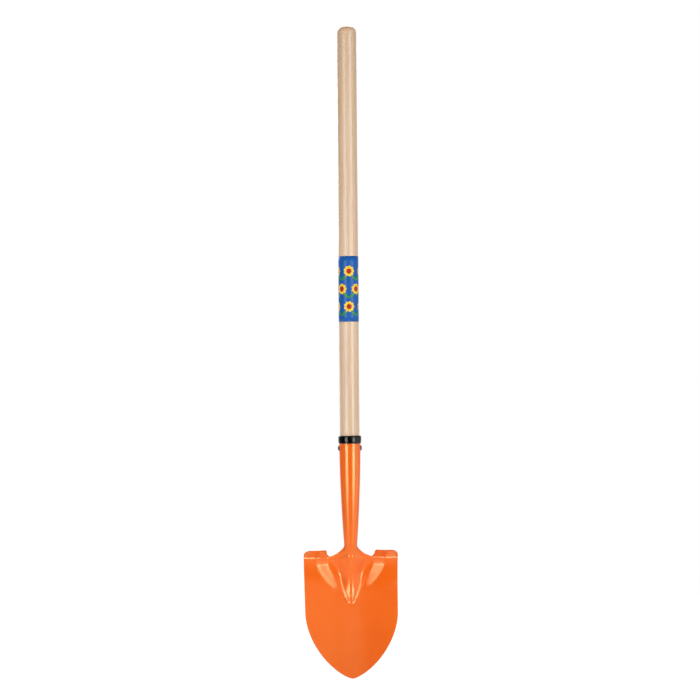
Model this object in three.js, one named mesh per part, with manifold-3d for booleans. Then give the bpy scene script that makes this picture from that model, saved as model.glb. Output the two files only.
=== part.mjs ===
import * as THREE from 'three';
import { mergeVertices } from 'three/addons/utils/BufferGeometryUtils.js';
import Module from 'manifold-3d';

// Child's long-handled round-point spade: a wooden handle sits in the rolled socket of a one-piece
// steel blade, a cross rivet holds it, a plastic collar covers the socket's mouth, and a printed
// sleeve is wrapped round the handle. Sizes are in millimetres. While the pieces are made, Z = 0 is
// the socket's mouth, +Z runs up the handle and the digging face looks along -Y.

// Fits
const FIT_GAP = 0.3;
const LABEL_GAP = 0.1;

// Wooden handle
const HANDLE_DIAMETER = 22.2;
const HANDLE_ABOVE_SOCKET = 463;
const HANDLE_DOME_HEIGHT = 6.5;
const TENON_LENGTH = 90;
const TENON_STEP = 0.5;

// Rolled steel socket
const SHEET = 1.2;
const SOCKET_LENGTH = 120.4;
const NECK_DIAMETER = 14.9;
const SOCKET_TAPER_POWER = 1.9;
const SEAM_GAP = 1;
const SEAM_OPENING_LENGTH = 34;

// Flare from the neck to the notches beside the steps
const FLARE_LENGTH = 14.1;
const FLARE_POWER = 2.1;
const NOTCH_HALF_SPACING = 22.5;
const NOTCH_WIDTH = 1.7;

// Raised frog below the neck
const FROG_LENGTH = 55;
const FROG_HALF_WIDTH = 10.8;
const FROG_WAIST = 29;
const FROG_FLARE_POWER = 2.2;
const FROG_POINT_POWER = 0.95;
const FROG_FALL_POWER = 0.8;
const FROG_TOP_ROUNDNESS = 5;
const FROG_END_ROUNDNESS = 2;
const FROG_BELL_WIDTH = 12;
const FROG_BELL_RUN = 20;

// Blade
const BLADE_WIDTH = 106.2;
const BLADE_SIDE_TAPER = 1;
const BLADE_LENGTH = 133.7;
const BLADE_STRAIGHT = 61.5;
const POINT_POWER = 1.8;
const POINT_FULLNESS = 0.7;
const TIP_FLAT = 0.5;
const BLADE_SETBACK = 6.5;
const LIFT_TOP_SLOPE = 0.08;
const LIFT_SLOPE = 0.28;
const LIFT_RUN = 42;
const DISH_DEPTH = 6.5;
const DISH_ROUND = 13;

// Shoulders of the blade beside the frog, which die away into the dish
const SHOULDER_DEPTH = 5.5;
const SHOULDER_RUN = 32;
const SHOULDER_TOP_FOOT = 23;
const SHOULDER_END_FOOT = 12;
const SHOULDER_FOOT_POWER = 1.7;
const SHOULDER_TOP_REACH = 41;
const SHOULDER_END_REACH = 21;
const SHOULDER_FADE_FROM = 8;
const SHOULDER_FADE_TO = 38;

// Turned foot steps
const STEP_DEPTH = 13;
const STEP_TURN = THREE.MathUtils.degToRad(40);
const STEP_BEND_RADIUS = 6;
const STEP_BEND_DROP = 3.5;
const STEP_END_LEAN = 3;
const STEP_END_ROUND = 1.5;
const STEP_CORNER_RADIUS = 7.3;

// Collar
const COLLAR_HEIGHT = 9;
const COLLAR_LIP = 2;
const COLLAR_WALL = 0.7;
const COLLAR_EDGE_RADIUS = 0.6;

// Cross rivet
const RIVET_DIAMETER = 4;
const RIVET_HEAD_DIAMETER = 6.6;
const RIVET_HEAD_HEIGHT = 1.3;
const RIVET_BELOW_COLLAR = 5.3;

// Wrap label
const LABEL_BOTTOM = 130;
const LABEL_HEIGHT = 73.7;
const LABEL_FILM = 0.2;

// Counts of facets
const ROUND_SIDES = 32;
const RIVET_SIDES = 16;
const ARC_STEPS = 5;
const CORE_COLUMNS = 24;
const WING_COLUMNS = 10;
const SOCKET_ROWS = 10;
const FLARE_ROWS = 6;
const FROG_ROWS = 14;
const POINT_ROWS = 12;
const STEP_ROWS = 6;
const WELD_DIGITS = 4;

// Finishes
const ORANGE_PAINT = { color: 0xf0742a, roughness: 0.3, metalness: 0 };
const BARE_WOOD = { color: 0xe5c7ab, roughness: 0.6, metalness: 0 };
const BLACK_PLASTIC = { color: 0x121212, roughness: 0.25, metalness: 0 };
const STEEL = { color: 0x8c8c8c, roughness: 0.35, metalness: 1 };
const PRINTED_FILM = { color: 0x2b6eb5, roughness: 0.4, metalness: 0 };

// Sizes that follow from the ones above
const HANDLE_RADIUS = HANDLE_DIAMETER / 2;
const SOCKET_MOUTH_RADIUS = HANDLE_RADIUS - TENON_STEP + FIT_GAP + SHEET;
const NECK_RADIUS = NECK_DIAMETER / 2;
const NECK_Z = -SOCKET_LENGTH;
const NOTCH_Z = NECK_Z - FLARE_LENGTH;
const STEP_BEND_Z = NOTCH_Z - STEP_BEND_DROP;
const BLADE_HALF_WIDTH = BLADE_WIDTH / 2;
const STEP_INNER_END = NOTCH_HALF_SPACING + NOTCH_WIDTH;
const NECK_SLOPE = (SOCKET_MOUTH_RADIUS - NECK_RADIUS) * SOCKET_TAPER_POWER / SOCKET_LENGTH;
const FROG_CREST = BLADE_SETBACK + NECK_RADIUS - NECK_SLOPE * FLARE_LENGTH - SHEET / 2;
const COLLAR_BOTTOM = COLLAR_LIP - COLLAR_HEIGHT;
const RIVET_Z = COLLAR_BOTTOM - RIVET_BELOW_COLLAR;
const GRIP_CENTRE_Z = (LABEL_BOTTOM + LABEL_HEIGHT + HANDLE_ABOVE_SOCKET) / 2;

const wasm = await Module();
wasm.setup();

const { clamp, lerp, smoothstep } = THREE.MathUtils;

// Evenly spaced values from one end to the other
function steps(from, to, count) {
  return Array.from({ length: count + 1 }, (_, i) => lerp(from, to, i / count));
}

// Closed triangle mesh to a solid that can be cut
function toSolid(geometry) {
  const bare = geometry.clone();
  bare.deleteAttribute('normal');
  bare.deleteAttribute('uv');
  const merged = mergeVertices(bare, 10 ** -WELD_DIGITS);
  const corners = merged.index.array;
  const triVerts = [];
  for (let i = 0; i < corners.length; i += 3) {
    const [a, b, c] = corners.slice(i, i + 3);
    if (a !== b && b !== c && c !== a) triVerts.push(a, b, c);
  }
  return new wasm.Manifold(new wasm.Mesh({
    numProp: 3,
    vertProperties: Float32Array.from(merged.attributes.position.array),
    triVerts: Uint32Array.from(triVerts),
  }));
}

function fromSolid(solid) {
  const mesh = solid.getMesh();
  const geometry = new THREE.BufferGeometry();
  geometry.setAttribute('position', new THREE.BufferAttribute(mesh.vertProperties, 3));
  geometry.setIndex(new THREE.BufferAttribute(mesh.triVerts, 1));
  geometry.computeVertexNormals();
  return geometry;
}

// Solid of revolution about Z from [radius, height] pairs that run upwards
function turned(profile, sides) {
  const points = profile.map(([radius, height]) => new THREE.Vector2(radius, height));
  return new THREE.LatheGeometry(points, sides).rotateX(Math.PI / 2);
}

// Outer radius of the rolled sheet at a height; below the neck it goes on tapering evenly
function socketRadius(z) {
  if (z < NECK_Z) return NECK_RADIUS - NECK_SLOPE * (NECK_Z - z);
  return lerp(SOCKET_MOUTH_RADIUS, NECK_RADIUS, (-z / SOCKET_LENGTH) ** SOCKET_TAPER_POWER);
}

// Half angle of the sheet round the socket: nearly closed above, a half round at the neck
function socketHalfAngle(z) {
  const closed = Math.PI - SEAM_GAP / 2 / (socketRadius(z) - SHEET);
  return lerp(Math.PI / 2, closed, smoothstep(z - NECK_Z, 0, SEAM_OPENING_LENGTH));
}

// How much wider the raised frog is at a height than at its waist
function frogFlare(z) {
  const widening = clamp(1 - (NOTCH_Z - z) / FROG_WAIST, 0, 1) ** FROG_FLARE_POWER;
  return (NOTCH_HALF_SPACING - FROG_HALF_WIDTH) * widening;
}

// Half width of the frog at a height, from the notches to its point
function frogHalfWidth(z) {
  const point = clamp((NOTCH_Z - z - FROG_WAIST) / (FROG_LENGTH - FROG_WAIST), 0, 1);
  return FROG_HALF_WIDTH * (1 - point ** 2) ** FROG_POINT_POWER + frogFlare(z);
}

// Height of the frog above the blade: bell-shaped at the neck, then a ridge with creased feet
function frogHeight(x, z) {
  const width = frogHalfWidth(z);
  if (Math.abs(x) >= width) return 0;
  const along = clamp((NOTCH_Z - z) / FROG_LENGTH, 0, 1);
  const roundness = lerp(FROG_TOP_ROUNDNESS, FROG_END_ROUNDNESS, along);
  const spread = (reach) => Math.hypot(roundness, reach) + roundness;
  const ridge = 1 - (x / width) ** 2 * spread(width) / spread(x);
  const bell = 1 / (1 + (x / FROG_BELL_WIDTH) ** 2);
  const rounded = bell * (1 - (x / width) ** 2);
  const bellShare = clamp(1 - (NOTCH_Z - z) / FROG_BELL_RUN, 0, 1) ** 2;
  return FROG_CREST * (1 - along) ** FROG_FALL_POWER * lerp(ridge, rounded, bellShare);
}

// Half width of the blade at a height: nearly straight sides, then the round point
function bladeHalfWidth(z) {
  const below = NOTCH_Z - z;
  const side = BLADE_HALF_WIDTH - BLADE_SIDE_TAPER * clamp(below / BLADE_STRAIGHT, 0, 1);
  const point = clamp((below - BLADE_STRAIGHT) / (BLADE_LENGTH - BLADE_STRAIGHT), 0, 1);
  return side * (1 - point ** POINT_POWER) ** POINT_FULLNESS;
}

// How far the sheet comes forward at its sides: in shoulders beside the frog, then in an even dish
function dish(x, z) {
  const below = Math.max(0, STEP_BEND_Z - z);
  const along = Math.min(below / SHOULDER_RUN, 1);
  const foot = lerp(SHOULDER_END_FOOT, SHOULDER_TOP_FOOT, (1 - along) ** SHOULDER_FOOT_POWER);
  const reach = lerp(SHOULDER_TOP_REACH, SHOULDER_END_REACH, along ** 2);
  const shoulder = SHOULDER_DEPTH * smoothstep(Math.abs(x), foot, reach);
  const trough = (across) => Math.hypot(across, DISH_ROUND) - DISH_ROUND;
  const even = DISH_DEPTH * trough(x) / trough(BLADE_HALF_WIDTH);
  return lerp(shoulder, even, smoothstep(below, SHOULDER_FADE_FROM, SHOULDER_FADE_TO));
}

// Middle of the sheet across the blade: lifted forward to the tip and dished, with the frog raised
function bladeDepth(x, z) {
  const below = Math.max(0, STEP_BEND_Z - z);
  const bent = Math.min(below, LIFT_RUN);
  const bend = bent ** 2 / (2 * LIFT_RUN) + below - bent;
  const lift = LIFT_TOP_SLOPE * below + (LIFT_SLOPE - LIFT_TOP_SLOPE) * bend;
  return BLADE_SETBACK - lift - dish(x, z) - frogHeight(x, z);
}

// Point of a turned step, by the length of sheet from the foot of its bend
function stepPoint(x, length) {
  const turn = Math.min(STEP_TURN, length / STEP_BEND_RADIUS);
  const straight = length - turn * STEP_BEND_RADIUS;
  const forward = STEP_BEND_RADIUS * (1 - Math.cos(turn)) + straight * Math.sin(turn);
  const up = STEP_BEND_RADIUS * Math.sin(turn) + straight * Math.cos(turn);
  return new THREE.Vector3(x, bladeDepth(x, STEP_BEND_Z) - forward, STEP_BEND_Z + up);
}

function bladePoint(x, z) {
  const onStep = z > STEP_BEND_Z && Math.abs(x) > NOTCH_HALF_SPACING + NOTCH_WIDTH / 2;
  return onStep ? stepPoint(x, z - STEP_BEND_Z) : new THREE.Vector3(x, bladeDepth(x, z), z);
}

// Half width of the middle strip of the blade, which carries the frog
function coreHalfWidth(z) {
  const frog = Math.max(frogHalfWidth(z), FROG_HALF_WIDTH / 2);
  return Math.min(frog, bladeHalfWidth(z) * NOTCH_HALF_SPACING / BLADE_HALF_WIDTH);
}

// Point of the middle strip, with across running from -1 to 1
function corePoint(across, z) {
  if (z <= NOTCH_Z) return bladePoint(across * coreHalfWidth(z), z);
  const angle = across * socketHalfAngle(z);
  const radius = socketRadius(z) - SHEET / 2;
  const rolled = new THREE.Vector3(radius * Math.sin(angle), -radius * Math.cos(angle), z);
  if (z >= NECK_Z) return rolled;
  const spread = bladePoint(across * NOTCH_HALF_SPACING, NOTCH_Z).setZ(z);
  return rolled.lerp(spread, ((NECK_Z - z) / FLARE_LENGTH) ** FLARE_POWER);
}

// Shares of a wing's width at its columns; the first column is as wide as the notch
function wingShares() {
  const notch = NOTCH_WIDTH / (BLADE_HALF_WIDTH - NOTCH_HALF_SPACING);
  return [0, ...steps(notch, 1, WING_COLUMNS)];
}

function wingPoint(side, share, z) {
  return bladePoint(side * lerp(coreHalfWidth(z), bladeHalfWidth(z), share), z);
}

// How far a round corner at a step's free edge takes its end back
function cornerCut(length, radius) {
  const over = Math.max(0, length - (STEP_DEPTH - radius));
  return radius - Math.sqrt(Math.max(0, radius ** 2 - over ** 2));
}

// Point of a step in the grid that continues its wing's columns, with round corners
function stepGridPoint(side, share, length) {
  const rise = (length - STEP_BEND_DROP) / (STEP_DEPTH - STEP_BEND_DROP);
  const lean = STEP_END_LEAN * (1 - (1 - rise) ** 3);
  const inner = STEP_INNER_END + lean + cornerCut(length, STEP_END_ROUND);
  const outer = BLADE_HALF_WIDTH - cornerCut(length, STEP_CORNER_RADIUS);
  return stepPoint(side * lerp(inner, outer, share), length);
}

// Grids of points on the middle of the sheet, rows downwards and columns from left to right
function sheetPatches() {
  const across = steps(-1, 1, CORE_COLUMNS);
  const frogRows = steps(NOTCH_Z, NOTCH_Z - FROG_LENGTH, FROG_ROWS);
  const tip = NOTCH_Z - BLADE_LENGTH + TIP_FLAT;
  const pointRows = steps(0, Math.PI / 2, POINT_ROWS)
    .map((angle) => lerp(NOTCH_Z - FROG_LENGTH, tip, Math.sin(angle)));
  const bladeRows = [...frogRows, ...pointRows.slice(1)];
  const coreRows = [
    ...steps(0, NECK_Z, SOCKET_ROWS),
    ...steps(NECK_Z, NOTCH_Z, FLARE_ROWS).slice(1),
    ...bladeRows.slice(1),
  ];
  const stepLengths = steps(Math.PI / 2, 0, STEP_ROWS)
    .map((angle) => lerp(STEP_BEND_DROP, STEP_DEPTH, Math.sin(angle)));
  const patches = [coreRows.map((z) => across.map((share) => corePoint(share, z)))];
  for (const side of [-1, 1]) {
    const wing = side < 0 ? wingShares().reverse() : wingShares();
    const step = side < 0 ? steps(1, 0, WING_COLUMNS) : steps(0, 1, WING_COLUMNS);
    patches.push(bladeRows.map((z) => wing.map((share) => wingPoint(side, share, z))));
    patches.push(stepLengths.map((length) => step.map((share) => stepGridPoint(side, share, length))));
  }
  return patches;
}

// Closed solid of even thickness about a sheet made of joined grids
function thickened(patches, thickness) {
  const points = [];
  const indexOf = new Map();
  const weld = (point) => {
    const key = point.toArray().map((value) => value.toFixed(WELD_DIGITS)).join(' ');
    if (!indexOf.has(key)) indexOf.set(key, points.push(point) - 1);
    return indexOf.get(key);
  };
  const front = [];
  for (const rows of patches) {
    const grid = rows.map((row) => row.map(weld));
    for (let i = 1; i < grid.length; i++) {
      for (let j = 1; j < grid[i].length; j++) {
        const [a, b, c, d] = [grid[i - 1][j - 1], grid[i - 1][j], grid[i][j], grid[i][j - 1]];
        front.push([a, d, c], [a, c, b]);
      }
    }
  }
  const normals = points.map(() => new THREE.Vector3());
  const edges = new Set();
  for (const corners of front) {
    const normal = new THREE.Triangle(...corners.map((k) => points[k])).getNormal(new THREE.Vector3());
    corners.forEach((k, n) => {
      normals[k].add(normal);
      edges.add(`${k} ${corners[(n + 1) % 3]}`);
    });
  }
  const offset = (side) => points.map((point, k) =>
    point.clone().addScaledVector(normals[k].normalize(), side * thickness / 2));
  const back = points.length;
  const faces = front.flatMap(([a, b, c]) => [[a, b, c], [back + c, back + b, back + a]]);
  for (const edge of edges) {
    const [p, q] = edge.split(' ').map(Number);
    if (!edges.has(`${q} ${p}`)) faces.push([q, p, back + p], [q, back + p, back + q]);
  }
  const geometry = new THREE.BufferGeometry().setFromPoints([...offset(1), ...offset(-1)]);
  geometry.setIndex(faces.flat());
  return geometry;
}

// Round bar along X through the rivet's place
function rivetBar(radius, length) {
  return new THREE.CylinderGeometry(radius, radius, length, RIVET_SIDES)
    .rotateZ(Math.PI / 2)
    .translate(0, 0, RIVET_Z);
}

const rivetHole = toSolid(rivetBar(RIVET_DIAMETER / 2 + FIT_GAP, 2 * HANDLE_DIAMETER));

function bladeAndSocket() {
  return fromSolid(toSolid(thickened(sheetPatches(), SHEET)).subtract(rivetHole));
}

function handle() {
  const tenonRadius = (z) => socketRadius(z) - SHEET - FIT_GAP;
  const tenon = steps(-TENON_LENGTH, 0, SOCKET_ROWS).map((z) => [tenonRadius(z), z]);
  const domeFoot = HANDLE_ABOVE_SOCKET - HANDLE_DOME_HEIGHT;
  const dome = steps(0, Math.PI / 2, ARC_STEPS)
    .map((angle) => [HANDLE_RADIUS * Math.cos(angle), domeFoot + HANDLE_DOME_HEIGHT * Math.sin(angle)]);
  const profile = [
    [0, -TENON_LENGTH],
    ...tenon,
    [tenonRadius(0), FIT_GAP],
    [HANDLE_RADIUS, FIT_GAP],
    ...dome.slice(0, -1),
    [0, HANDLE_ABOVE_SOCKET],
  ];
  return fromSolid(toSolid(turned(profile, ROUND_SIDES)).subtract(rivetHole));
}

function collar() {
  const inside = SOCKET_MOUTH_RADIUS + FIT_GAP;
  const outside = inside + COLLAR_WALL;
  const lipInside = HANDLE_RADIUS + FIT_GAP;
  const edge = (centreZ, from) => steps(from, from + Math.PI / 2, ARC_STEPS).map((angle) => [
    outside - COLLAR_EDGE_RADIUS * (1 - Math.cos(angle)),
    centreZ + COLLAR_EDGE_RADIUS * Math.sin(angle),
  ]);
  const profile = [
    [inside, COLLAR_BOTTOM],
    ...edge(COLLAR_BOTTOM + COLLAR_EDGE_RADIUS, -Math.PI / 2),
    ...edge(COLLAR_LIP - COLLAR_EDGE_RADIUS, 0),
    [lipInside, COLLAR_LIP],
    [lipInside, FIT_GAP],
    [inside, FIT_GAP],
    [inside, COLLAR_BOTTOM],
  ];
  return turned(profile, ROUND_SIDES);
}

function rivet() {
  const seat = socketRadius(RIVET_Z) + FIT_GAP;
  const headRadius = RIVET_HEAD_DIAMETER / 2;
  const dome = steps(0, Math.PI / 2, ARC_STEPS)
    .map((angle) => [headRadius * Math.cos(angle), seat + RIVET_HEAD_HEIGHT * Math.sin(angle)]);
  const upper = [[RIVET_DIAMETER / 2, seat], ...dome.slice(0, -1), [0, seat + RIVET_HEAD_HEIGHT]];
  const lower = upper.map(([radius, along]) => [radius, -along]).reverse();
  return turned([...lower, ...upper], RIVET_SIDES)
    .rotateY(Math.PI / 2)
    .translate(0, 0, RIVET_Z);
}

function label() {
  const inside = HANDLE_RADIUS + LABEL_GAP;
  const top = LABEL_BOTTOM + LABEL_HEIGHT;
  const profile = [
    [inside, LABEL_BOTTOM],
    [inside + LABEL_FILM, LABEL_BOTTOM],
    [inside + LABEL_FILM, top],
    [inside, top],
    [inside, LABEL_BOTTOM],
  ];
  return turned(profile, ROUND_SIDES);
}

function piece(name, geometry, finish) {
  const mesh = new THREE.Mesh(geometry, new THREE.MeshStandardMaterial(finish));
  mesh.name = name;
  return mesh;
}

// The finished spade has its origin on the handle's axis, at the middle of the bare grip
const spade = new THREE.Group();
spade.name = 'childrens_spade';
spade.position.z = -GRIP_CENTRE_Z;
spade.add(
  piece('blade_and_socket', bladeAndSocket(), ORANGE_PAINT),
  piece('handle', handle(), BARE_WOOD),
  piece('collar', collar(), BLACK_PLASTIC),
  piece('rivet', rivet(), STEEL),
  piece('label', label(), PRINTED_FILM),
);

export default spade;
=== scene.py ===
"""Childrens spade: the look of every piece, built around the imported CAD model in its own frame."""
import math

import bpy
from mathutils import Matrix, Vector


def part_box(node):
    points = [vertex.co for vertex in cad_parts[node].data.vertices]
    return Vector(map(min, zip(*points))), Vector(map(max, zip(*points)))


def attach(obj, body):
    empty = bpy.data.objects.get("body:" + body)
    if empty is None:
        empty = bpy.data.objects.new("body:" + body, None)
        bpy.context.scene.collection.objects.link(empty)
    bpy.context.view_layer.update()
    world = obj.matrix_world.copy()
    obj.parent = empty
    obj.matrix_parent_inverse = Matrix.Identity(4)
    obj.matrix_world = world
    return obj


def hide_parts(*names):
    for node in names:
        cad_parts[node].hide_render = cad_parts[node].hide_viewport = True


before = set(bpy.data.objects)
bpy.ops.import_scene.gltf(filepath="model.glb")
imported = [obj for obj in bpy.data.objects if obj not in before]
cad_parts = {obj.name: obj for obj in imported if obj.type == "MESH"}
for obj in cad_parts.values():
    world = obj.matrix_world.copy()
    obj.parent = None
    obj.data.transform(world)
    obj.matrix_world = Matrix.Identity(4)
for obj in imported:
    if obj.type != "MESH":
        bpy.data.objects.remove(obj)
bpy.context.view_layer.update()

# Shapes are written in millimetres along the handle's axis, with height 0 at the socket's mouth,
# and are turned into metres in the CAD frame when a mesh is made.
MM = 0.001
QUARTER_TURN = math.pi / 2

# Places read from the CAD model
collar_low, collar_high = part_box("collar")
_, handle_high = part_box("handle")
label_low, label_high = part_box("label")
rivet_low, rivet_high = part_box("rivet")
_, blade_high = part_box("blade_and_socket")
MOUTH_Z = blade_high.z


def local(z):
    """Height above the socket's mouth, in millimetres, of a CAD height in metres."""
    return (z - MOUTH_Z) / MM


# Handle
HANDLE_RADIUS = handle_high.x / MM
HANDLE_TOP = local(handle_high.z)
HANDLE_DOME = 7.5
HANDLE_DOME_POWER = 0.72
HANDLE_FOOT = -2.0
HANDLE_DOME_ROWS = 24
HANDLE_SHAFT_ROWS = 60
HANDLE_SIDES = 128

# Collar: a ring of two shallow cones that meet in a ridge, over the socket's mouth
COLLAR_TOP = local(collar_high.z)
COLLAR_FOOT = local(collar_low.z)
COLLAR_RADIUS = collar_high.x / MM
COLLAR_EDGE = 0.8
COLLAR_TOP_EDGE = 1.6
COLLAR_UPPER_SLOPE = 0.05
COLLAR_LOWER_SLOPE = 0.08
COLLAR_CLEARANCE = 0.15
COLLAR_LEDGE = 0.3
COLLAR_EDGE_ROWS = 8
COLLAR_CONE_ROWS = 4
COLLAR_SIDES = 128

# Label: a sleeve of film with a lap at the back, with angles in radians
LABEL_TOP = local(label_high.z)
LABEL_FOOT = local(label_low.z)
LABEL_RADIUS = label_high.x / MM
LABEL_FILM = 0.2
LABEL_LAP_ANGLE = math.radians(14)
LABEL_LAP_RISE_ANGLE = 0.1
LABEL_COLUMNS = 160
LABEL_ROWS = 12

# Rivet
RIVET_Z = local((rivet_low.z + rivet_high.z) / 2)
RIVET_REACH = rivet_high.x / MM
RIVET_HEAD_RADIUS = (rivet_high.y - rivet_low.y) / 2 / MM
RIVET_HEAD_SINK = 0.4
RIVET_SHANK_RADIUS = 2.0
RIVET_HEAD_ROWS = 10
RIVET_SIDES = 48

# Pressed sheet: socket, neck and flare
SHEET = 1.2
MOUTH_RADIUS = 12.1
NECK_RADIUS = 7.45
SOCKET_LENGTH = 120.4
SOCKET_TAPER_POWER = 1.9
SEAM_GAP = 1.0
SEAM_OPENING_LENGTH = 34.0
FLARE_LENGTH = 14.1
FLARE_POWER = 2.1
NOTCH_HALF_SPACING = 22.5
NOTCH_WIDTH = 1.7

# Pressed sheet: frog
FROG_LENGTH = 55.0
FROG_HALF_WIDTH = 10.8
FROG_WAIST = 29.0
FROG_FLARE_POWER = 2.2
FROG_POINT_POWER = 0.95
FROG_FALL_POWER = 0.8
FROG_BELL_WIDTH = 12.0
FROG_BELL_RUN = 20.0
FROG_TOP_ROUNDNESS = 5.0
FROG_END_ROUNDNESS = 2.0
FROG_FOOT_BLEND = 3.6

# Pressed sheet: blade
BLADE_HALF_WIDTH = blade_high.x / MM
BLADE_SIDE_TAPER = 1.0
BLADE_LENGTH = 133.7
BLADE_STRAIGHT = 61.5
POINT_POWER = 1.8
POINT_FULLNESS = 0.7
BLADE_SETBACK = 6.5
LIFT_TOP_SLOPE = -0.08
LIFT_SLOPE = 0.28
LIFT_RUN = 34.0
DISH_TOP_DEPTH = 5.5
DISH_DEPTH = 6.5
DISH_ROUND = 13.0
SHOULDER_REST = 6.0
SHOULDER_RUN = 34.0
SHOULDER_REACH_POWER = 1.4
SHOULDER_TOP_FOOT = 23.0
SHOULDER_END_FOOT = 12.0
SHOULDER_TOP_REACH = 41.0
SHOULDER_END_REACH = 21.0
SHOULDER_FADE_FROM = 8.0
SHOULDER_FADE_TO = 38.0

# Pressed sheet: turned steps
STEP_DEPTH = 13.0
STEP_TURN = math.radians(40)
STEP_BEND_RADIUS = 6.0
STEP_BEND_DROP = 3.5
STEP_END_LEAN = 3.0
STEP_LEAN_POWER = 3
STEP_END_ROUND = 1.5
STEP_CORNER_RADIUS = 7.3

# Pressed sheet: rounded cut edges
EDGE_ROUND = 0.35
EDGE_SEGMENTS = 3
EDGE_ANGLE = math.radians(50)

# Pressed sheet: rows and columns of its grids
CORE_COLUMNS = 96
NOTCH_COLUMNS = 4
WING_COLUMNS = 44
SOCKET_ROWS = 80
FLARE_ROWS = 24
FROG_ROWS = 80
POINT_ROWS = 90
STEP_ROWS = 22
TIP_TRIM = 0.06
WELD_DIGITS = 4

# Pressed sheet: places that follow from the sizes above
NECK_Z = -SOCKET_LENGTH
NOTCH_Z = NECK_Z - FLARE_LENGTH
STEP_BEND_Z = NOTCH_Z - STEP_BEND_DROP
STEP_INNER_END = NOTCH_HALF_SPACING + NOTCH_WIDTH
NECK_SLOPE = (MOUTH_RADIUS - NECK_RADIUS) * SOCKET_TAPER_POWER / SOCKET_LENGTH
FROG_CREST = BLADE_SETBACK + NECK_RADIUS - NECK_SLOPE * FLARE_LENGTH - SHEET / 2
FROG_POINT_Z = NOTCH_Z - FROG_LENGTH
TIP_Z = NOTCH_Z - BLADE_LENGTH


def mix(a, b, share):
    return a + (b - a) * share


def mix_points(a, b, share):
    return tuple(mix(p, q, share) for p, q in zip(a, b))


def clamp(value):
    return min(1.0, max(0.0, value))


def smooth(low, high, value):
    t = clamp((value - low) / (high - low))
    return t * t * (3 - 2 * t)


def spaced(start, end, count):
    return [mix(start, end, i / count) for i in range(count + 1)]


def soft_max(a, b, blend):
    near = max(blend - abs(a - b), 0) / blend
    return max(a, b) + near * near * blend / 4


def socket_radius(z):
    """Outer radius of the rolled sheet, which goes on tapering evenly below the neck."""
    if z < NECK_Z:
        return NECK_RADIUS - NECK_SLOPE * (NECK_Z - z)
    return mix(MOUTH_RADIUS, NECK_RADIUS, (-z / SOCKET_LENGTH) ** SOCKET_TAPER_POWER)


def socket_half_angle(z):
    """Half angle of the sheet round the socket: nearly closed above, a half round at the neck."""
    closed = math.pi - SEAM_GAP / 2 / (socket_radius(z) - SHEET)
    return mix(QUARTER_TURN, closed, smooth(0, SEAM_OPENING_LENGTH, z - NECK_Z))


def frog_flare(z):
    """How much wider the frog is at a height than at its waist."""
    widening = clamp(1 - (NOTCH_Z - z) / FROG_WAIST) ** FROG_FLARE_POWER
    return (NOTCH_HALF_SPACING - FROG_HALF_WIDTH) * widening


def frog_half_width(z):
    point = clamp((NOTCH_Z - z - FROG_WAIST) / (FROG_LENGTH - FROG_WAIST))
    return FROG_HALF_WIDTH * (1 - point ** 2) ** FROG_POINT_POWER + frog_flare(z)


def bell(x):
    return 1 / (1 + (x / FROG_BELL_WIDTH) ** 2)


def frog_height(x, z):
    """Height of the frog above the blade: a bell under the neck that sharpens into a ridge."""
    along = (NOTCH_Z - z) / FROG_LENGTH
    if along >= 1:
        return 0
    width = max(frog_half_width(z), FROG_FOOT_BLEND)
    crest = FROG_CREST * clamp(1 - along) ** FROG_FALL_POWER
    roundness = mix(FROG_TOP_ROUNDNESS, FROG_END_ROUNDNESS, clamp(along))
    wide = math.hypot(roundness, width) + roundness
    here = math.hypot(roundness, x) + roundness
    ridge = 1 - (x / width) ** 2 * wide / here
    foot = bell(width)
    rounded = (bell(x) - foot) / (1 - foot)
    height = crest * mix(ridge, rounded, clamp(1 - (NOTCH_Z - z) / FROG_BELL_RUN) ** 2)
    blend = FROG_FOOT_BLEND * math.sqrt(clamp(1 - along))
    return soft_max(height, 0, blend) - soft_max(-crest, 0, blend)


def blade_half_width(z):
    below = NOTCH_Z - z
    side = BLADE_HALF_WIDTH - BLADE_SIDE_TAPER * clamp(below / BLADE_STRAIGHT)
    point = clamp((below - BLADE_STRAIGHT) / (BLADE_LENGTH - BLADE_STRAIGHT))
    return side * (1 - point ** POINT_POWER) ** POINT_FULLNESS


def trough(x):
    return math.hypot(x, DISH_ROUND) - DISH_ROUND


def dish(x, z):
    """How far the sheet comes forward beside the frog: soon at the shoulders, slowly lower down."""
    below = max(0, STEP_BEND_Z - z)
    along = clamp((below - SHOULDER_REST) / (SHOULDER_RUN - SHOULDER_REST))
    foot = mix(SHOULDER_TOP_FOOT, SHOULDER_END_FOOT, along)
    reach = mix(SHOULDER_TOP_REACH, SHOULDER_END_REACH, along ** SHOULDER_REACH_POWER)
    shoulder = DISH_TOP_DEPTH * smooth(foot, reach, abs(x))
    broad = DISH_DEPTH * trough(x) / trough(BLADE_HALF_WIDTH)
    return mix(shoulder, broad, smooth(SHOULDER_FADE_FROM, SHOULDER_FADE_TO, below))


def blade_depth(x, z):
    """Middle of the sheet: lifted towards the tip, dished at the sides, with the frog raised."""
    below = max(0, STEP_BEND_Z - z)
    bent = min(below, LIFT_RUN)
    bend = bent * bent / (2 * LIFT_RUN) + below - bent
    lift = LIFT_TOP_SLOPE * below + (LIFT_SLOPE - LIFT_TOP_SLOPE) * bend
    return BLADE_SETBACK - lift - dish(x, z) - frog_height(x, z)


def step_point(x, length):
    """Point of a turned step, by the length of sheet from the foot of its bend."""
    turn = min(STEP_TURN, length / STEP_BEND_RADIUS)
    straight = length - turn * STEP_BEND_RADIUS
    forward = STEP_BEND_RADIUS * (1 - math.cos(turn)) + straight * math.sin(turn)
    up = STEP_BEND_RADIUS * math.sin(turn) + straight * math.cos(turn)
    return (x, blade_depth(x, STEP_BEND_Z) - forward, STEP_BEND_Z + up)


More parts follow.
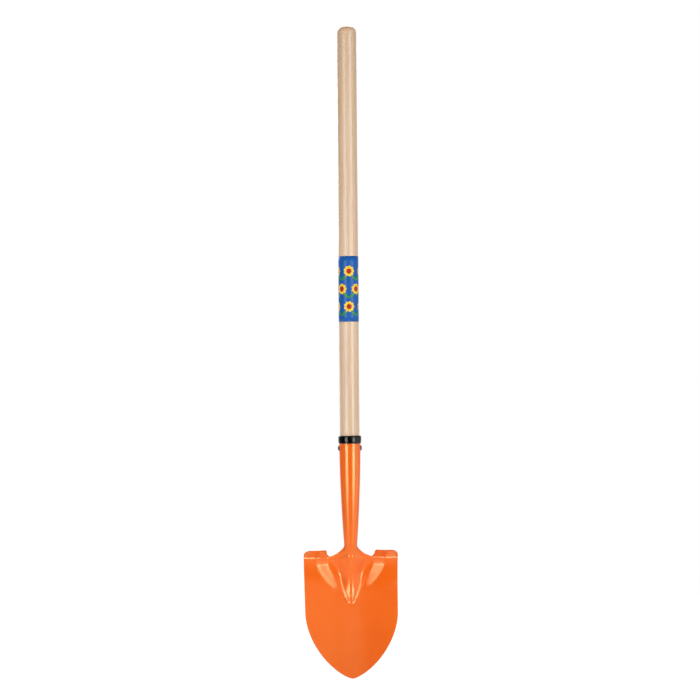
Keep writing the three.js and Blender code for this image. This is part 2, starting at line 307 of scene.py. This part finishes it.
def blade_point(x, z):
    """Point of the blade, which starts to turn beside the notches as the steps do."""
    flat = (x, blade_depth(x, z), z)
    if z <= STEP_BEND_Z:
        return flat
    on_step = smooth(NOTCH_HALF_SPACING, STEP_INNER_END, abs(x))
    return mix_points(flat, step_point(x, z - STEP_BEND_Z), on_step)


def core_half_width(z):
    frog = max(frog_half_width(z), FROG_HALF_WIDTH / 2)
    return min(frog, blade_half_width(z) * NOTCH_HALF_SPACING / BLADE_HALF_WIDTH)


def core_point(across, z):
    """Point of the sheet's middle strip: socket, neck, flare, frog and the blade below it."""
    if z <= NOTCH_Z:
        return blade_point(across * core_half_width(z), z)
    angle = across * socket_half_angle(z)
    radius = socket_radius(z) - SHEET / 2
    rolled = (radius * math.sin(angle), -radius * math.cos(angle), z)
    if z >= NECK_Z:
        return rolled
    opened = blade_point(across * NOTCH_HALF_SPACING, NOTCH_Z)[:2] + (z,)
    return mix_points(rolled, opened, ((NECK_Z - z) / FLARE_LENGTH) ** FLARE_POWER)


def wing_point(side, share, z):
    return blade_point(side * mix(core_half_width(z), blade_half_width(z), share), z)


def corner_cut(length, radius):
    """How far a round corner at a step's free edge takes its end back."""
    over = max(0, length - (STEP_DEPTH - radius))
    return radius - math.sqrt(max(0, radius ** 2 - over ** 2))


def step_grid_point(side, share, length):
    rise = (length - STEP_BEND_DROP) / (STEP_DEPTH - STEP_BEND_DROP)
    lean = STEP_END_LEAN * (1 - (1 - rise) ** STEP_LEAN_POWER)
    inner = STEP_INNER_END + lean + corner_cut(length, STEP_END_ROUND)
    outer = BLADE_HALF_WIDTH - corner_cut(length, STEP_CORNER_RADIUS)
    return step_point(side * mix(inner, outer, share), length)


def sheet_patches():
    """Grids of points on the middle of the sheet, rows downwards and columns from left to right."""
    across = spaced(-1, 1, CORE_COLUMNS)
    point_rows = [mix(FROG_POINT_Z, TIP_Z + TIP_TRIM, math.sin(angle))
                  for angle in spaced(0, QUARTER_TURN, POINT_ROWS)]
    blade_rows = spaced(NOTCH_Z, FROG_POINT_Z, FROG_ROWS) + point_rows[1:]
    tube_rows = spaced(0, NECK_Z, SOCKET_ROWS) + spaced(NECK_Z, NOTCH_Z, FLARE_ROWS)[1:]
    core_rows = tube_rows + blade_rows[1:]
    step_lengths = [mix(STEP_DEPTH, STEP_BEND_DROP, 1 - math.cos(angle))
                    for angle in spaced(0, QUARTER_TURN, STEP_ROWS)]
    notch = NOTCH_WIDTH / (BLADE_HALF_WIDTH - NOTCH_HALF_SPACING)
    wing = spaced(0, notch, NOTCH_COLUMNS)[:-1] + spaced(notch, 1, WING_COLUMNS)
    step = spaced(0, 1, WING_COLUMNS)
    patches = [[[core_point(share, z) for share in across] for z in core_rows]]
    for side in (-1, 1):
        wing_columns = wing[::-1] if side < 0 else wing
        step_columns = step[::-1] if side < 0 else step
        patches.append([[wing_point(side, share, z) for share in wing_columns] for z in blade_rows])
        patches.append([[step_grid_point(side, share, length) for share in step_columns]
                        for length in step_lengths])
    return patches


def placed(point):
    """A point in millimetres from the socket's mouth as a point in metres in the CAD frame."""
    x, y, z = point
    return Vector((x * MM, y * MM, MOUTH_Z + z * MM))


def new_piece(name, points, faces, material, cad_node):
    """A smooth mesh piece that rides on the part and stands for a CAD node."""
    mesh = bpy.data.meshes.new(name)
    mesh.from_pydata([placed(p) for p in points], [], faces)
    mesh.polygons.foreach_set("use_smooth", [True] * len(mesh.polygons))
    mesh.update()
    piece = bpy.data.objects.new(name, mesh)
    bpy.context.scene.collection.objects.link(piece)
    mesh.materials.append(material)
    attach(piece, "root")
    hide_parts(cad_node)
    return piece


def thickened(piece, thickness):
    """Gives a piece made as a sheet its thickness, half of it to each side."""
    solid = piece.modifiers.new("thickness", "SOLIDIFY")
    solid.thickness = thickness * MM
    solid.offset = 0
    return solid


def welded(patches):
    """Points and quads of joined grids, with the points that they share kept once."""
    points, faces, index_of = [], [], {}

    def index(point):
        key = tuple(round(value, WELD_DIGITS) for value in point)
        if key not in index_of:
            index_of[key] = len(points)
            points.append(point)
        return index_of[key]

    for rows in patches:
        grid = [[index(point) for point in row] for row in rows]
        for upper, lower in zip(grid, grid[1:]):
            for j in range(len(upper) - 1):
                faces.append((upper[j], lower[j], lower[j + 1], upper[j + 1]))
    return points, faces


def turned(profile, sides):
    """Points and faces of a solid of revolution about the handle's axis from (radius, height) pairs."""
    points, faces, rings = [], [], []
    for radius, height in profile:
        if radius == 0:
            rings.append([len(points)] * sides)
            points.append((0, 0, height))
            continue
        rings.append([len(points) + k for k in range(sides)])
        for k in range(sides):
            angle = 2 * math.pi * k / sides
            points.append((radius * math.cos(angle), radius * math.sin(angle), height))
    for lower, upper in zip(rings, rings[1:]):
        for k in range(sides):
            n = (k + 1) % sides
            corners = dict.fromkeys((lower[k], lower[n], upper[n], upper[k]))
            faces.append(tuple(corners))
    return points, faces


class Maths:
    """A number in a node tree, so that patterns can be written as sums."""

    def __init__(self, tree, socket):
        self.tree = tree
        self.socket = socket

    def apply(self, operation, *others):
        made = self.tree.nodes.new("ShaderNodeMath")
        made.operation = operation
        self.tree.links.new(self.socket, made.inputs[0])
        for socket, other in zip(made.inputs[1:], others):
            if isinstance(other, Maths):
                self.tree.links.new(other.socket, socket)
            else:
                socket.default_value = other
        return Maths(self.tree, made.outputs[0])

    def __add__(self, other):
        return self.apply("ADD", other)

    def __sub__(self, other):
        return self.apply("SUBTRACT", other)

    def __mul__(self, other):
        return self.apply("MULTIPLY", other)

    def magnitude(self):
        return self.apply("ABSOLUTE")

    def above(self, edge, soft):
        """0 below the edge and 1 above it, with a soft step of that width."""
        made = self.tree.nodes.new("ShaderNodeMapRange")
        made.interpolation_type = "SMOOTHSTEP"
        self.tree.links.new(self.socket, made.inputs["Value"])
        made.inputs["From Min"].default_value = edge - soft / 2
        made.inputs["From Max"].default_value = edge + soft / 2
        return Maths(self.tree, made.outputs["Result"])

    def below(self, edge, soft):
        """1 below the edge and 0 above it, with a soft step of that width."""
        return (self * -1.0).above(-edge, soft)


def new_material(name):
    material = bpy.data.materials.new(name)
    material.use_nodes = True
    tree = material.node_tree
    return material, tree, tree.nodes["Principled BSDF"]


def node(tree, kind, **values):
    """A new node with its input sockets set by name."""
    made = tree.nodes.new(kind)
    for key, value in values.items():
        made.inputs[key.replace("_", " ")].default_value = value
    return made


def object_coordinates(tree):
    return tree.nodes.new("ShaderNodeTexCoord").outputs["Object"]


def axes(tree, vector):
    """The three numbers of a vector, by the name of their axis."""
    split = tree.nodes.new("ShaderNodeSeparateXYZ")
    tree.links.new(vector, split.inputs["Vector"])
    return {axis: Maths(tree, split.outputs[axis]) for axis in "XYZ"}


def noise(tree, scale, stretch=(1, 1, 1), detail=3.0, roughness=0.5):
    """Noise in object coordinates, drawn out along an axis where the stretch is below 1."""
    mapping = node(tree, "ShaderNodeMapping", Scale=stretch)
    tree.links.new(object_coordinates(tree), mapping.inputs["Vector"])
    made = node(tree, "ShaderNodeTexNoise", Scale=scale, Detail=detail, Roughness=roughness)
    tree.links.new(mapping.outputs["Vector"], made.inputs["Vector"])
    return made.outputs["Fac"]


# Where nearly all of a noise's values lie
NOISE_LOW = 0.3
NOISE_HIGH = 0.7


def between(tree, socket, dark, pale, low=NOISE_LOW, high=NOISE_HIGH):
    """A colour between two, by a noise value."""
    made = tree.nodes.new("ShaderNodeValToRGB")
    stops = ((low, dark), (high, pale))
    for element, (position, colour) in zip(made.color_ramp.elements, stops):
        element.position = position
        element.color = (*colour, 1)
    tree.links.new(socket, made.inputs["Fac"])
    return made.outputs["Color"]


def vary_roughness(tree, shader, socket, smoothest, roughest):
    """Sets a shader's roughness between two values, by a noise value."""
    made = node(tree, "ShaderNodeMapRange", From_Min=NOISE_LOW, From_Max=NOISE_HIGH,
                To_Min=smoothest, To_Max=roughest)
    tree.links.new(socket, made.inputs["Value"])
    tree.links.new(made.outputs["Result"], shader.inputs["Roughness"])


def bump(tree, shader, height, strength, distance):
    made = node(tree, "ShaderNodeBump", Strength=strength, Distance=distance)
    tree.links.new(height, made.inputs["Height"])
    tree.links.new(made.outputs["Normal"], shader.inputs["Normal"])


def covered(tree, colour, share, cover):
    """A colour with another laid over it, by a share from 0 to 1."""
    made = tree.nodes.new("ShaderNodeMix")
    made.data_type = "RGBA"
    tree.links.new(share.socket, made.inputs["Factor"])
    tree.links.new(colour, made.inputs["A"])
    made.inputs["B"].default_value = (*cover, 1)
    return made.outputs["Result"]


# Paint
PAINT_DEEP = (0.87, 0.121, 0.005)
PAINT_BRIGHT = (0.90, 0.141, 0.008)
PAINT_SHINE = (1.0, 0.93, 0.48, 1)
PAINT_IOR = 1.65


def orange_paint():
    """Glossy paint with a slight cloud in its colour, wiped smears and faint orange peel."""
    material, tree, shader = new_material("orange_paint")
    cloud = noise(tree, scale=18.0)
    tree.links.new(between(tree, cloud, PAINT_DEEP, PAINT_BRIGHT), shader.inputs["Base Color"])
    shader.inputs["Specular Tint"].default_value = PAINT_SHINE
    smear = noise(tree, scale=60.0, stretch=(1, 1, 0.3), detail=5.0)
    vary_roughness(tree, shader, smear, smoothest=0.17, roughest=0.20)
    peel = noise(tree, scale=700.0, detail=1.0)
    bump(tree, shader, peel, strength=0.006, distance=0.0002)
    shader.inputs["IOR"].default_value = PAINT_IOR
    return material


# Wood, with heights and runs in metres in the CAD frame
WOOD_DEEP = (0.70, 0.48, 0.31)
WOOD_PALE = (0.80, 0.58, 0.405)
# Painted shade: a darker, deeper tone laid over the handle's upper end, where less light falls
WOOD_PAINTED_SHADE = (0.63, 0.405, 0.24)
WOOD_LINE = (0.60, 0.385, 0.225)
WOOD_PORE = (0.50, 0.31, 0.175)
WOOD_END_SPECK = (0.50, 0.26, 0.10)
WOOD_SHINE = (0.6, 0.9, 1.0, 1)
WOOD_WANDER_LOW = 0.32
WOOD_WANDER_HIGH = 0.68
# Where the painted shade on the handle's upper end starts, how softly it comes in and how strong it is
PAINTED_SHADE_HEIGHT = 0.06
PAINTED_SHADE_RUN = 0.4
PAINTED_SHADE_SHARE = 0.45
LINE_SHARE = 0.5
PORE_SHARE = 0.35
END_GRAIN_DOME_SHARE = 0.6
END_GRAIN_HEIGHT = handle_high.z - END_GRAIN_DOME_SHARE * HANDLE_DOME * MM
END_GRAIN_RUN = 2 * MM
END_SPECK_SHARE = 0.6


def pale_wood():
    """Straight-grained wood under a satin varnish, with painted shade that darkens it towards its free
    end.
    """
    material, tree, shader = new_material("pale_wood")
    height = axes(tree, object_coordinates(tree))["Z"]
    wander = noise(tree, scale=30.0, stretch=(1, 1, 0.06), detail=4.0)
    streak = noise(tree, scale=420.0, stretch=(1, 1, 0.02), detail=6.0, roughness=0.6)
    fibre = noise(tree, scale=1600.0, stretch=(1, 1, 0.02), roughness=0.6)
    speck = noise(tree, scale=900.0, detail=2.0)
    colour = between(tree, wander, WOOD_DEEP, WOOD_PALE, WOOD_WANDER_LOW, WOOD_WANDER_HIGH)
    # Painted shade: the wood darkens above this height, standing in for less light on the handle's
    # upper end
    painted_shade = height.above(PAINTED_SHADE_HEIGHT, PAINTED_SHADE_RUN) * PAINTED_SHADE_SHARE
    lines = Maths(tree, streak).above(edge=0.53, soft=0.16) * LINE_SHARE
    pores = Maths(tree, fibre).above(edge=0.62, soft=0.1) * PORE_SHARE
    end_grain = height.above(END_GRAIN_HEIGHT, END_GRAIN_RUN)
    specks = end_grain * Maths(tree, speck).above(edge=0.52, soft=0.1) * END_SPECK_SHARE
    colour = covered(tree, colour, painted_shade, WOOD_PAINTED_SHADE)
    colour = covered(tree, colour, lines, WOOD_LINE)
    colour = covered(tree, colour, pores, WOOD_PORE)
    colour = covered(tree, colour, specks, WOOD_END_SPECK)
    tree.links.new(colour, shader.inputs["Base Color"])
    vary_roughness(tree, shader, streak, smoothest=0.20, roughest=0.30)
    shader.inputs["Specular Tint"].default_value = WOOD_SHINE
    bump(tree, shader, fibre, strength=0.06, distance=0.0003)
    return material


# Black plastic and rivet steel
PLASTIC_DEEP = (0.0005, 0.0005, 0.0006)
PLASTIC_HAZE = (0.0011, 0.0011, 0.0012)
PLASTIC_SPECULAR = 0.3
STEEL_DARK = (0.07, 0.06, 0.06)
STEEL_PALE = (0.16, 0.14, 0.14)


def black_plastic():
    material, tree, shader = new_material("black_plastic")
    haze = noise(tree, scale=250.0, detail=4.0)
    tree.links.new(between(tree, haze, PLASTIC_DEEP, PLASTIC_HAZE), shader.inputs["Base Color"])
    vary_roughness(tree, shader, haze, smoothest=0.10, roughest=0.15)
    shader.inputs["Specular IOR Level"].default_value = PLASTIC_SPECULAR
    bump(tree, shader, haze, strength=0.02, distance=0.0002)
    return material


def rivet_steel():
    material, tree, shader = new_material("rivet_steel")
    grain = noise(tree, scale=900.0, detail=5.0)
    tree.links.new(between(tree, grain, STEEL_DARK, STEEL_PALE), shader.inputs["Base Color"])
    vary_roughness(tree, shader, grain, smoothest=0.3, roughest=0.5)
    shader.inputs["Metallic"].default_value = 1.0
    bump(tree, shader, grain, strength=0.2, distance=0.0004)
    return material


# Print on the label, in millimetres round and up the sleeve
PRINT_BLUE = (0.009, 0.10, 0.38)
PRINT_BLUE_SPREAD = 1.15
PRINT_YELLOW = (0.95, 0.62, 0.03)
PRINT_ORANGE = (0.90, 0.30, 0.015)
PRINT_RED = (0.52, 0.02, 0.02)
PRINT_DARK = (0.02, 0.012, 0.012)
PRINT_GREEN = (0.015, 0.22, 0.05)
PRINT_PALE_GREEN = (0.12, 0.42, 0.08)
PRINT_EDGE = 0.25
PRINT_SPECULAR = 0.25
FLOWER_COLUMNS = 4
FLOWER_ROWS = ((0.77, 0.0), (0.5, 0.5), (0.23, 0.0))
FLOWER_RADIUS = 6.2
FLOWER_PETALS = 9
PETAL_DEPTH = 1.0
FLOWER_BLUSH = 3.6
FLOWER_BLUSH_EDGE = 2.0
FLOWER_BLUSH_SHARE = 0.8
FLOWER_RING = 2.7
FLOWER_CORE = 2.1
LEAF_ASIDE = 5.6
LEAF_DROP = 7.4
LEAF_TURN = math.radians(-38)
LEAF_HALF_LENGTH = 4.6
LEAF_HALF_WIDTH = 1.7
LEAF_VEIN = 0.2


def leaves(tree, colour, across, up):
    """Two veined leaves, one to each side under a flower, printed over a colour."""
    aside = across.magnitude() - LEAF_ASIDE
    under = up + LEAF_DROP
    along = aside * math.cos(LEAF_TURN) + under * math.sin(LEAF_TURN)
    off = (under * math.cos(LEAF_TURN) - aside * math.sin(LEAF_TURN)).magnitude()
    taper = along * along * (-LEAF_HALF_WIDTH / LEAF_HALF_LENGTH ** 2) + LEAF_HALF_WIDTH
    leaf = (taper - off).above(0, PRINT_EDGE)
    colour = covered(tree, colour, leaf, PRINT_GREEN)
    return covered(tree, colour, leaf * off.below(LEAF_VEIN, PRINT_EDGE), PRINT_PALE_GREEN)


def flower(tree, colour, across, up):
    """A flower with a blushed middle and a dark ring round its core, printed over a colour."""
    distance = (across * across + up * up).apply("SQRT")
    petal = (up.apply("ARCTAN2", across) * FLOWER_PETALS).apply("COSINE") * (PETAL_DEPTH / 2)
    inside = petal + (FLOWER_RADIUS - PETAL_DEPTH / 2) - distance
    blush = distance.below(FLOWER_BLUSH, FLOWER_BLUSH_EDGE) * FLOWER_BLUSH_SHARE
    colour = covered(tree, colour, inside.above(0, PRINT_EDGE), PRINT_YELLOW)
    colour = covered(tree, colour, blush, PRINT_ORANGE)
    colour = covered(tree, colour, distance.below(FLOWER_RING, PRINT_EDGE), PRINT_DARK)
    return covered(tree, colour, distance.below(FLOWER_CORE, PRINT_EDGE), PRINT_RED)


def printed_film():
    """Blue film with rows of plain flowers, each row half a step round from the next."""
    material, tree, shader = new_material("printed_film")
    uv = tree.nodes.new("ShaderNodeUVMap")
    uv.uv_map = "print"
    film = axes(tree, uv.outputs["UV"])
    step = 2 * math.pi * LABEL_RADIUS / FLOWER_COLUMNS
    tint = noise(tree, scale=120.0)
    pale_blue = tuple(channel * PRINT_BLUE_SPREAD for channel in PRINT_BLUE)
    colour = between(tree, tint, PRINT_BLUE, pale_blue)
    for share, shift in FLOWER_ROWS:
        across = (film["X"] + shift * step).apply("WRAP", step / 2, -step / 2)
        up = film["Y"] - share * (LABEL_TOP - LABEL_FOOT)
        colour = leaves(tree, colour, across, up)
        colour = flower(tree, colour, across, up)
    tree.links.new(colour, shader.inputs["Base Color"])
    vary_roughness(tree, shader, tint, smoothest=0.28, roughest=0.38)
    shader.inputs["Specular IOR Level"].default_value = PRINT_SPECULAR
    return material


def make_blade():
    points, faces = welded(sheet_patches())
    piece = new_piece("blade_and_socket_sheet", points, faces, orange_paint(),
                      "blade_and_socket")
    thickened(piece, SHEET).use_even_offset = True
    rounding = piece.modifiers.new("rounded_edges", "BEVEL")
    rounding.width = EDGE_ROUND * MM
    rounding.segments = EDGE_SEGMENTS
    rounding.limit_method = "ANGLE"
    rounding.angle_limit = EDGE_ANGLE


def make_handle():
    dome = [(HANDLE_RADIUS * math.sin(angle) ** HANDLE_DOME_POWER,
             HANDLE_TOP - HANDLE_DOME * (1 - math.cos(angle)))
            for angle in spaced(0, QUARTER_TURN, HANDLE_DOME_ROWS)]
    shaft = [(HANDLE_RADIUS, z)
             for z in spaced(HANDLE_TOP - HANDLE_DOME, HANDLE_FOOT, HANDLE_SHAFT_ROWS)]
    profile = dome + shaft[1:] + [(0, HANDLE_FOOT)]
    points, faces = turned(profile[::-1], HANDLE_SIDES)
    new_piece("wooden_handle", points, faces, pale_wood(), "handle")


def make_collar():
    inner = HANDLE_RADIUS + COLLAR_CLEARANCE
    skirt = MOUTH_RADIUS + COLLAR_CLEARANCE
    ridge = (COLLAR_FOOT + COLLAR_TOP) / 2
    low_z = COLLAR_FOOT + COLLAR_EDGE
    high_z = COLLAR_TOP - COLLAR_TOP_EDGE
    low_rim = COLLAR_RADIUS - COLLAR_LOWER_SLOPE * (ridge - low_z)
    high_rim = COLLAR_RADIUS - COLLAR_UPPER_SLOPE * (high_z - ridge)
    quarter = spaced(0, QUARTER_TURN, COLLAR_EDGE_ROWS)
    low = [(low_rim - COLLAR_EDGE * (1 - math.sin(angle)), low_z - COLLAR_EDGE * math.cos(angle))
           for angle in quarter]
    high = [(high_rim - COLLAR_TOP_EDGE * (1 - math.cos(angle)),
             high_z + COLLAR_TOP_EDGE * math.sin(angle)) for angle in quarter]
    shares = spaced(0, 1, COLLAR_CONE_ROWS)
    side = [mix_points((low_rim, low_z), (COLLAR_RADIUS, ridge), share) for share in shares]
    side += [mix_points((COLLAR_RADIUS, ridge), (high_rim, high_z), share) for share in shares[1:]]
    profile = [(skirt, COLLAR_LEDGE), (skirt, COLLAR_FOOT)] + low[:-1] + side + high[1:]
    profile += [(inner, COLLAR_TOP), (inner, COLLAR_LEDGE), (skirt, COLLAR_LEDGE)]
    points, faces = turned(profile, COLLAR_SIDES)
    new_piece("socket_collar", points, faces, black_plastic(), "collar")


def make_rivet():
    seat = socket_radius(RIVET_Z) - RIVET_HEAD_SINK
    head = [(RIVET_HEAD_RADIUS * math.cos(angle), mix(seat, RIVET_REACH, math.sin(angle)))
            for angle in spaced(0, QUARTER_TURN, RIVET_HEAD_ROWS)][:-1]
    upper = [(RIVET_SHANK_RADIUS, seat)] + head + [(0, RIVET_REACH)]
    profile = [(radius, -height) for radius, height in upper[::-1]] + upper
    points, faces = turned(profile, RIVET_SIDES)
    points = [(z, y, RIVET_Z - x) for x, y, z in points]
    new_piece("cross_rivet", points, faces, rivet_steel(), "rivet")


def make_label():
    """A sleeve whose one end laps over the other at the back of the handle."""
    points, uvs, faces = [], [], []
    for z in spaced(LABEL_FOOT, LABEL_TOP, LABEL_ROWS):
        for angle in spaced(-math.pi, math.pi + LABEL_LAP_ANGLE, LABEL_COLUMNS):
            lap = smooth(math.pi - LABEL_LAP_RISE_ANGLE, math.pi, angle) * LABEL_FILM
            radius = LABEL_RADIUS - LABEL_FILM / 2 + lap
            points.append((radius * math.sin(angle), -radius * math.cos(angle), z))
            uvs.append((LABEL_RADIUS * (angle + math.pi), z - LABEL_FOOT))
    width = LABEL_COLUMNS + 1
    for i in range(LABEL_ROWS):
        for j in range(LABEL_COLUMNS):
            corner = i * width + j
            faces.append((corner, corner + 1, corner + 1 + width, corner + width))
    piece = new_piece("wrap_label", points, faces, printed_film(), "label")
    layer = piece.data.uv_layers.new(name="print")
    for loop in piece.data.loops:
        layer.data[loop.index].uv = uvs[loop.vertex_index]
    thickened(piece, LABEL_FILM)


# Camera: level with the middle of the photograph, which shows 788.9 mm across its 700 pixels
FRAME_PIXELS = 700
PIXEL_MM = 1.127
LENS = 100.0
SENSOR = 36.0
CAMERA_ROLL = math.radians(0.48)
CAMERA_YAW = math.radians(-3)
VIEW_CENTRE_X = 1.1
VIEW_CENTRE_Z = 98.2


def make_camera():
    """A camera before the digging face, turned about the handle's axis to the photograph's view."""
    data = bpy.data.cameras.new("camera")
    data.lens = LENS
    data.sensor_width = SENSOR
    camera = bpy.data.objects.new("camera", data)
    distance = FRAME_PIXELS * PIXEL_MM * LENS / SENSOR
    straight_on = placed((VIEW_CENTRE_X, -distance, VIEW_CENTRE_Z))
    camera.location = Matrix.Rotation(CAMERA_YAW, 3, "Z") @ straight_on
    camera.rotation_euler = (QUARTER_TURN, CAMERA_ROLL, CAMERA_YAW)
    bpy.context.scene.collection.objects.link(camera)
    bpy.context.scene.camera = camera


# Height of the floor, under the blade's tip, in metres in the CAD frame
FLOOR_HEIGHT = MOUTH_Z + TIP_Z * MM

# Lamps, in metres in the CAD frame: soft ones don't show in gloss, and cards show in gloss alone
LAMPS = (
    dict(name="fill", place=(0.1, -2.3, 0.4), aim=(0, 0, -0.15), size=(1.6, 1.6), watts=1.6,
         glossy=False),
    dict(name="back", place=(-0.5, 2.0, 0.9), aim=(0, 0, -0.25), size=(2.0, 2.0), watts=38.0),
    dict(name="top", place=(0.0, -0.2, 2.2), aim=(0, 0, -0.6), size=(2.4, 2.4), watts=20.0,
         glossy=False),
    dict(name="right_card", place=(0.62, -2.1, 0.0), aim=(0, 0, -0.5), size=(0.65, 1.1), watts=1.2,
         diffuse=False),
    dict(name="side_card", place=(1.5, -0.3, -0.45), aim=(0, 0, -0.4), size=(1.2, 0.8), watts=2.3,
         diffuse=False),
    dict(name="right_side", place=(0.7, -0.1, -0.55), aim=(0, 0, -0.42), size=(0.4, 0.3), watts=1.35,
         glossy=False),
    dict(name="left_side", place=(-0.7, -0.1, -0.55), aim=(0, 0, -0.42), size=(0.4, 0.3), watts=1.25,
         glossy=False),
)

# Two tall strips before the object, each in three parts: name, foot, head and watts
STRIP_AZIMUTH = math.radians(38)
STRIP_DISTANCE = 2.2
STRIP_WIDTH = 1.0
STRIP_PARTS = (
    ("foot", -0.77, -0.64, 4.2),
    ("low", -0.64, -0.42, 8.2),
    ("high", -0.42, 0.60, 15.6),
)

# Two small cards that face up, just off the floor, and shine along the bends of the steps
LOW_CARD_X = 0.049
LOW_CARD_Y = -0.11
LOW_CARD_RISE = 0.003
LOW_CARD_SIZE = (0.034, 0.12)
LOW_CARD_WATTS = 0.12


def area_light(name, place, aim, size, watts, glossy=True, diffuse=True):
    """A rectangular lamp, placed and aimed in metres in the CAD frame."""
    data = bpy.data.lights.new(name, "AREA")
    data.shape = "RECTANGLE"
    data.size, data.size_y = size
    data.energy = watts
    lamp = bpy.data.objects.new(name, data)
    lamp.location = place
    lamp.rotation_euler = (Vector(aim) - lamp.location).to_track_quat("-Z", "Y").to_euler()
    lamp.visible_glossy = glossy
    lamp.visible_diffuse = diffuse
    lamp.visible_camera = False
    bpy.context.scene.collection.objects.link(lamp)


def make_lights():
    """The strips, the lamps and cards of the list, and the two low cards."""
    sides = ((-1, "left"), (1, "right"))
    strip_y = -STRIP_DISTANCE * math.cos(STRIP_AZIMUTH)
    for side, side_name in sides:
        strip_x = side * STRIP_DISTANCE * math.sin(STRIP_AZIMUTH)
        for part, foot, head, watts in STRIP_PARTS:
            middle = (foot + head) / 2
            area_light(f"strip_{part}_{side_name}", (strip_x, strip_y, middle), (0, 0, middle),
                       (STRIP_WIDTH, head - foot), watts)
    for lamp in LAMPS:
        area_light(**lamp)
    for side, side_name in sides:
        x = side * LOW_CARD_X
        area_light(f"low_card_{side_name}", (x, LOW_CARD_Y, FLOOR_HEIGHT + LOW_CARD_RISE),
                   (x, LOW_CARD_Y, 0), LOW_CARD_SIZE, LOW_CARD_WATTS, diffuse=False)


# World, by direction: the place and softness of each glow's edge, then how bright each glow is
RIGHT_EDGE = (0.75, 0.5)
BEHIND_EDGE = (0.2, 0.8)
BACKDROP_EDGE = (0.6, 0.5)
WINDOW_HEIGHT = 0.37
WINDOW_SIDE_EDGE = (0.17, 0.14)
WINDOW_TOP_EDGE = (0.07, 0.05)
RIGHT_BACKDROP = 0.6
RIGHT_GLOW = 0.12
BEHIND_GLOW = 0.2
GLOW_ALL_ROUND = 0.06


def light_paths(tree, *kinds):
    """1 for rays of any of the kinds, and 0 for the others."""
    path = tree.nodes.new("ShaderNodeLightPath")
    first, *others = [Maths(tree, path.outputs[f"Is {kind} Ray"]) for kind in kinds]
    return sum(others, first)


def make_world():
    """A white backdrop for the eye and for shine, with dim light and a soft window round the object."""
    world = bpy.data.worlds.new("studio")
    bpy.context.scene.world = world
    world.use_nodes = True
    tree = world.node_tree
    background = tree.nodes["Background"]
    coordinates = tree.nodes.new("ShaderNodeTexCoord")
    direction = axes(tree, coordinates.outputs["Generated"])
    right = direction["X"].above(*RIGHT_EDGE)
    behind = direction["Y"].above(*BEHIND_EDGE)
    backdrop = direction["Y"].above(*BACKDROP_EDGE).apply("MAXIMUM", right * RIGHT_BACKDROP)
    shine = light_paths(tree, "Glossy", "Transmission")
    seen = (shine * backdrop).apply("MAXIMUM", light_paths(tree, "Camera"))
    raised = (direction["Z"] - WINDOW_HEIGHT).magnitude()
    window = direction["X"].magnitude().below(*WINDOW_SIDE_EDGE) * raised.below(*WINDOW_TOP_EDGE)
    glow = right * RIGHT_GLOW + behind * BEHIND_GLOW + window + GLOW_ALL_ROUND
    tree.links.new(glow.apply("MAXIMUM", seen).socket, background.inputs["Strength"])
    background.inputs["Color"].default_value = (1, 1, 1, 1)


# Floor: a pale round sheet that fades out into the backdrop, in metres
FLOOR_REACH = 1.3
FLOOR_FADE = 0.9
FLOOR_COLOUR = (0.3, 0.3, 0.3)
FLOOR_MOTTLE = 1.01
FLOOR_ROUGHNESS = 0.9
FLOOR_SPECULAR = 0.1
FLOOR_GLOW = 0.84
FLOOR_RINGS = 24
FLOOR_SIDES = 96


def studio_floor():
    material, tree, shader = new_material("studio_floor")
    grain = noise(tree, scale=3.0)
    pale = tuple(channel * FLOOR_MOTTLE for channel in FLOOR_COLOUR)
    tree.links.new(between(tree, grain, FLOOR_COLOUR, pale, low=0, high=1),
                   shader.inputs["Base Color"])
    shader.inputs["Roughness"].default_value = FLOOR_ROUGHNESS
    shader.inputs["Specular IOR Level"].default_value = FLOOR_SPECULAR
    shader.inputs["Emission Color"].default_value = (1, 1, 1, 1)
    glow = light_paths(tree, "Camera", "Glossy", "Transmission") * FLOOR_GLOW
    tree.links.new(glow.socket, shader.inputs["Emission Strength"])
    length = tree.nodes.new("ShaderNodeVectorMath")
    length.operation = "LENGTH"
    tree.links.new(object_coordinates(tree), length.inputs[0])
    near = Maths(tree, length.outputs["Value"]).below(FLOOR_REACH - FLOOR_FADE / 2, FLOOR_FADE)
    tree.links.new(near.socket, shader.inputs["Alpha"])
    return material


def make_floor():
    """The floor under the blade's tip."""
    points, faces = turned([(r, 0) for r in spaced(0, FLOOR_REACH, FLOOR_RINGS)], FLOOR_SIDES)
    mesh = bpy.data.meshes.new("floor")
    mesh.from_pydata(points, [], faces)
    mesh.materials.append(studio_floor())
    floor = bpy.data.objects.new("floor", mesh)
    floor.location.z = FLOOR_HEIGHT
    bpy.context.scene.collection.objects.link(floor)


bpy.context.scene.view_settings.view_transform = "Standard"
make_camera()
make_blade()
make_handle()
make_collar()
make_rivet()
make_label()
make_lights()
make_world()
make_floor()
